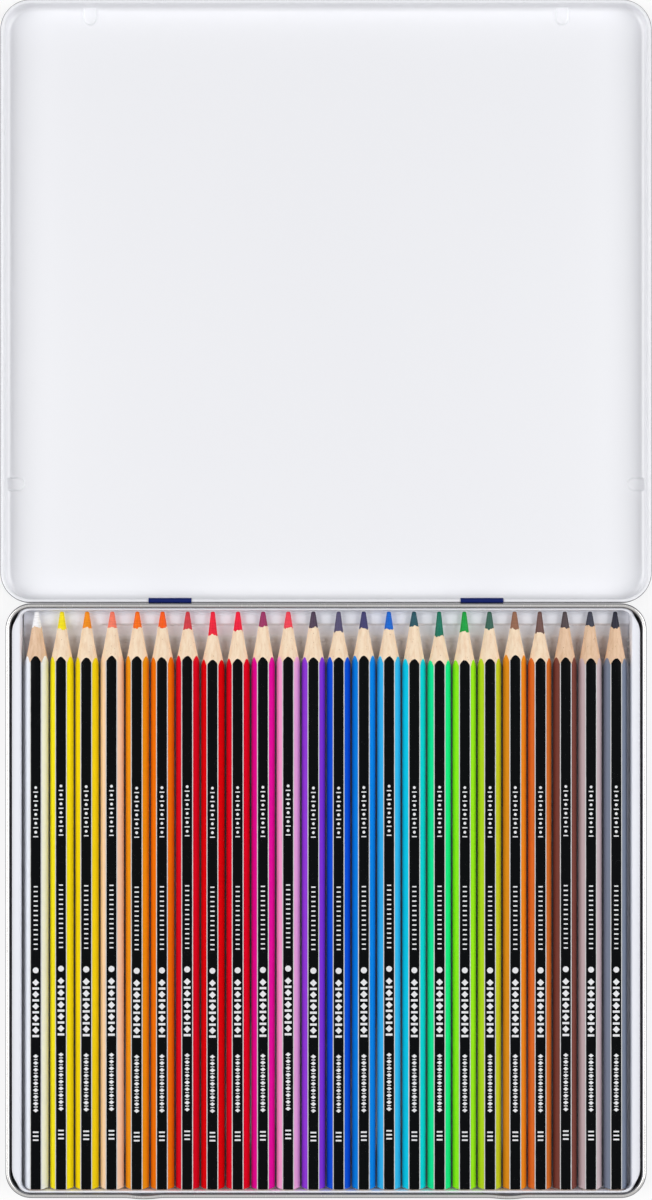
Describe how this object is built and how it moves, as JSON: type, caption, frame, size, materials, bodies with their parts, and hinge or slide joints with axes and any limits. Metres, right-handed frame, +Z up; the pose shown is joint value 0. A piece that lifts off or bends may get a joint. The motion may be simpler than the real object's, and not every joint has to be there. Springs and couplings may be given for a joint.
{
  "type": "coloured pencil box",
  "caption": "Flat hinged tin with a formed insert tray that holds a row of hexagonal coloured pencils, shown open.",
  "frame": {"origin": "middle of the base's flat underside", "axes": "+X to the right along the hinge, +Y from the base to the open lid, +Z up"},
  "size_m": [0.1976, 0.3636, 0.0076],
  "materials": {
    "bright_tinplate": "bright tinplate, fine drawn grain, dark blue lacquer outside",
    "white_lacquered_tin": "smooth white lacquer inside, dark blue lacquer outside",
    "white_formed_plastic": "thin formed sheet, soft gloss",
    "white_casing": "gloss lacquer on pale composite wood",
    "white_core": "waxy coloured lead",
    "yellow_casing": "gloss lacquer on pale composite wood",
    "yellow_core": "waxy coloured lead",
    "golden_yellow_casing": "gloss lacquer on pale composite wood",
    "golden_yellow_core": "waxy coloured lead",
    "peach_casing": "gloss lacquer on pale composite wood",
    "peach_core": "waxy coloured lead",
    "light_orange_casing": "gloss lacquer on pale composite wood",
    "light_orange_core": "waxy coloured lead",
    "orange_casing": "gloss lacquer on pale composite wood",
    "orange_core": "waxy coloured lead",
    "crimson_casing": "gloss lacquer on pale composite wood",
    "crimson_core": "waxy coloured lead",
    "red_casing": "gloss lacquer on pale composite wood",
    "red_core": "waxy coloured lead",
    "carmine_casing": "gloss lacquer on pale composite wood",
    "carmine_core": "waxy coloured lead",
    "magenta_casing": "gloss lacquer on pale composite wood",
    "magenta_core": "waxy coloured lead",
    "pink_casing": "gloss lacquer on pale composite wood",
    "pink_core": "waxy coloured lead",
    "violet_casing": "gloss lacquer on pale composite wood",
    "violet_core": "waxy coloured lead",
    "blue_casing": "gloss lacquer on pale composite wood",
    "blue_core": "waxy coloured lead",
    "mid_blue_casing": "gloss lacquer on pale composite wood",
    "mid_blue_core": "waxy coloured lead",
    "light_blue_casing": "gloss lacquer on pale composite wood",
    "light_blue_core": "waxy coloured lead",
    "turquoise_casing": "gloss lacquer on pale composite wood",
    "turquoise_core": "waxy coloured lead",
    "sea_green_casing": "gloss lacquer on pale composite wood",
    "sea_green_core": "waxy coloured lead",
    "lime_casing": "gloss lacquer on pale composite wood",
    "lime_core": "waxy coloured lead",
    "yellow_green_casing": "gloss lacquer on pale composite wood",
    "yellow_green_core": "waxy coloured lead",
    "ochre_casing": "gloss lacquer on pale composite wood",
    "ochre_core": "waxy coloured lead",
    "red_brown_casing": "gloss lacquer on pale composite wood",
    "red_brown_core": "waxy coloured lead",
    "brown_casing": "gloss lacquer on pale composite wood",
    "brown_core": "waxy coloured lead",
    "pinkish_grey_casing": "gloss lacquer on pale composite wood",
    "pinkish_grey_core": "waxy coloured lead",
    "slate_grey_casing": "gloss lacquer on pale composite wood",
    "slate_grey_core": "waxy coloured lead"
  },
  "bodies": {
    "base": {"base_tin": "bright_tinplate"},
    "lid": {"lid": "white_lacquered_tin"},
    "tray": {"insert_tray": "white_formed_plastic"},
    "pencil_01": {"pencil_01_white_casing": "white_casing", "pencil_01_white_core": "white_core"},
    "pencil_02": {"pencil_02_yellow_casing": "yellow_casing", "pencil_02_yellow_core": "yellow_core"},
    "pencil_03": {"pencil_03_golden_yellow_casing": "golden_yellow_casing", "pencil_03_golden_yellow_core": "golden_yellow_core"},
    "pencil_04": {"pencil_04_peach_casing": "peach_casing", "pencil_04_peach_core": "peach_core"},
    "pencil_05": {"pencil_05_light_orange_casing": "light_orange_casing", "pencil_05_light_orange_core": "light_orange_core"},
    "pencil_06": {"pencil_06_orange_casing": "orange_casing", "pencil_06_orange_core": "orange_core"},
    "pencil_07": {"pencil_07_crimson_casing": "crimson_casing", "pencil_07_crimson_core": "crimson_core"},
    "pencil_08": {"pencil_08_red_casing": "red_casing", "pencil_08_red_core": "red_core"},
    "pencil_09": {"pencil_09_carmine_casing": "carmine_casing", "pencil_09_carmine_core": "carmine_core"},
    "pencil_10": {"pencil_10_magenta_casing": "magenta_casing", "pencil_10_magenta_core": "magenta_core"},
    "pencil_11": {"pencil_11_pink_casing": "pink_casing", "pencil_11_pink_core": "pink_core"},
    "pencil_12": {"pencil_12_violet_casing": "violet_casing", "pencil_12_violet_core": "violet_core"},
    "pencil_13": {"pencil_13_blue_casing": "blue_casing", "pencil_13_blue_core": "blue_core"},
    "pencil_14": {"pencil_14_mid_blue_casing": "mid_blue_casing", "pencil_14_mid_blue_core": "mid_blue_core"},
    "pencil_15": {"pencil_15_light_blue_casing": "light_blue_casing", "pencil_15_light_blue_core": "light_blue_core"},
    "pencil_16": {"pencil_16_turquoise_casing": "turquoise_casing", "pencil_16_turquoise_core": "turquoise_core"},
    "pencil_17": {"pencil_17_sea_green_casing": "sea_green_casing", "pencil_17_sea_green_core": "sea_green_core"},
    "pencil_18": {"pencil_18_lime_casing": "lime_casing", "pencil_18_lime_core": "lime_core"},
    "pencil_19": {"pencil_19_yellow_green_casing": "yellow_green_casing", "pencil_19_yellow_green_core": "yellow_green_core"},
    "pencil_20": {"pencil_20_ochre_casing": "ochre_casing", "pencil_20_ochre_core": "ochre_core"},
    "pencil_21": {"pencil_21_red_brown_casing": "red_brown_casing", "pencil_21_red_brown_core": "red_brown_core"},
    "pencil_22": {"pencil_22_brown_casing": "brown_casing", "pencil_22_brown_core": "brown_core"},
    "pencil_23": {"pencil_23_pinkish_grey_casing": "pinkish_grey_casing", "pencil_23_pinkish_grey_core": "pinkish_grey_core"},
    "pencil_24": {"pencil_24_slate_grey_casing": "slate_grey_casing", "pencil_24_slate_grey_core": "slate_grey_core"}
  },
  "joints": [
    {"name": "lid_hinge", "type": "hinge", "parent": "base", "child": "lid", "pos_m": [0, 0.0907, 0.005], "axis": [-1, 0, 0], "range_deg": [-180, 0]},
    {"name": "tray_lift", "type": "slide", "parent": "base", "child": "tray", "axis": [0, 0, 1], "range_m": [0, 0.02]},
    {"name": "pencil_01_lift", "type": "slide", "parent": "tray", "child": "pencil_01", "axis": [0, 0, 1], "range_m": [0, 0.025]},
    {"name": "pencil_02_lift", "type": "slide", "parent": "tray", "child": "pencil_02", "axis": [0, 0, 1], "range_m": [0, 0.025]},
    {"name": "pencil_03_lift", "type": "slide", "parent": "tray", "child": "pencil_03", "axis": [0, 0, 1], "range_m": [0, 0.025]},
    {"name": "pencil_04_lift", "type": "slide", "parent": "tray", "child": "pencil_04", "axis": [0, 0, 1], "range_m": [0, 0.025]},
    {"name": "pencil_05_lift", "type": "slide", "parent": "tray", "child": "pencil_05", "axis": [0, 0, 1], "range_m": [0, 0.025]},
    {"name": "pencil_06_lift", "type": "slide", "parent": "tray", "child": "pencil_06", "axis": [0, 0, 1], "range_m": [0, 0.025]},
    {"name": "pencil_07_lift", "type": "slide", "parent": "tray", "child": "pencil_07", "axis": [0, 0, 1], "range_m": [0, 0.025]},
    {"name": "pencil_08_lift", "type": "slide", "parent": "tray", "child": "pencil_08", "axis": [0, 0, 1], "range_m": [0, 0.025]},
    {"name": "pencil_09_lift", "type": "slide", "parent": "tray", "child": "pencil_09", "axis": [0, 0, 1], "range_m": [0, 0.025]},
    {"name": "pencil_10_lift", "type": "slide", "parent": "tray", "child": "pencil_10", "axis": [0, 0, 1], "range_m": [0, 0.025]},
    {"name": "pencil_11_lift", "type": "slide", "parent": "tray", "child": "pencil_11", "axis": [0, 0, 1], "range_m": [0, 0.025]},
    {"name": "pencil_12_lift", "type": "slide", "parent": "tray", "child": "pencil_12", "axis": [0, 0, 1], "range_m": [0, 0.025]},
    {"name": "pencil_13_lift", "type": "slide", "parent": "tray", "child": "pencil_13", "axis": [0, 0, 1], "range_m": [0, 0.025]},
    {"name": "pencil_14_lift", "type": "slide", "parent": "tray", "child": "pencil_14", "axis": [0, 0, 1], "range_m": [0, 0.025]},
    {"name": "pencil_15_lift", "type": "slide", "parent": "tray", "child": "pencil_15", "axis": [0, 0, 1], "range_m": [0, 0.025]},
    {"name": "pencil_16_lift", "type": "slide", "parent": "tray", "child": "pencil_16", "axis": [0, 0, 1], "range_m": [0, 0.025]},
    {"name": "pencil_17_lift", "type": "slide", "parent": "tray", "child": "pencil_17", "axis": [0, 0, 1], "range_m": [0, 0.025]},
    {"name": "pencil_18_lift", "type": "slide", "parent": "tray", "child": "pencil_18", "axis": [0, 0, 1], "range_m": [0, 0.025]},
    {"name": "pencil_19_lift", "type": "slide", "parent": "tray", "child": "pencil_19", "axis": [0, 0, 1], "range_m": [0, 0.025]},
    {"name": "pencil_20_lift", "type": "slide", "parent": "tray", "child": "pencil_20", "axis": [0, 0, 1], "range_m": [0, 0.025]},
    {"name": "pencil_21_lift", "type": "slide", "parent": "tray", "child": "pencil_21", "axis": [0, 0, 1], "range_m": [0, 0.025]},
    {"name": "pencil_22_lift", "type": "slide", "parent": "tray", "child": "pencil_22", "axis": [0, 0, 1], "range_m": [0, 0.025]},
    {"name": "pencil_23_lift", "type": "slide", "parent": "tray", "child": "pencil_23", "axis": [0, 0, 1], "range_m": [0, 0.025]},
    {"name": "pencil_24_lift", "type": "slide", "parent": "tray", "child": "pencil_24", "axis": [0, 0, 1], "range_m": [0, 0.025]}
  ]
}
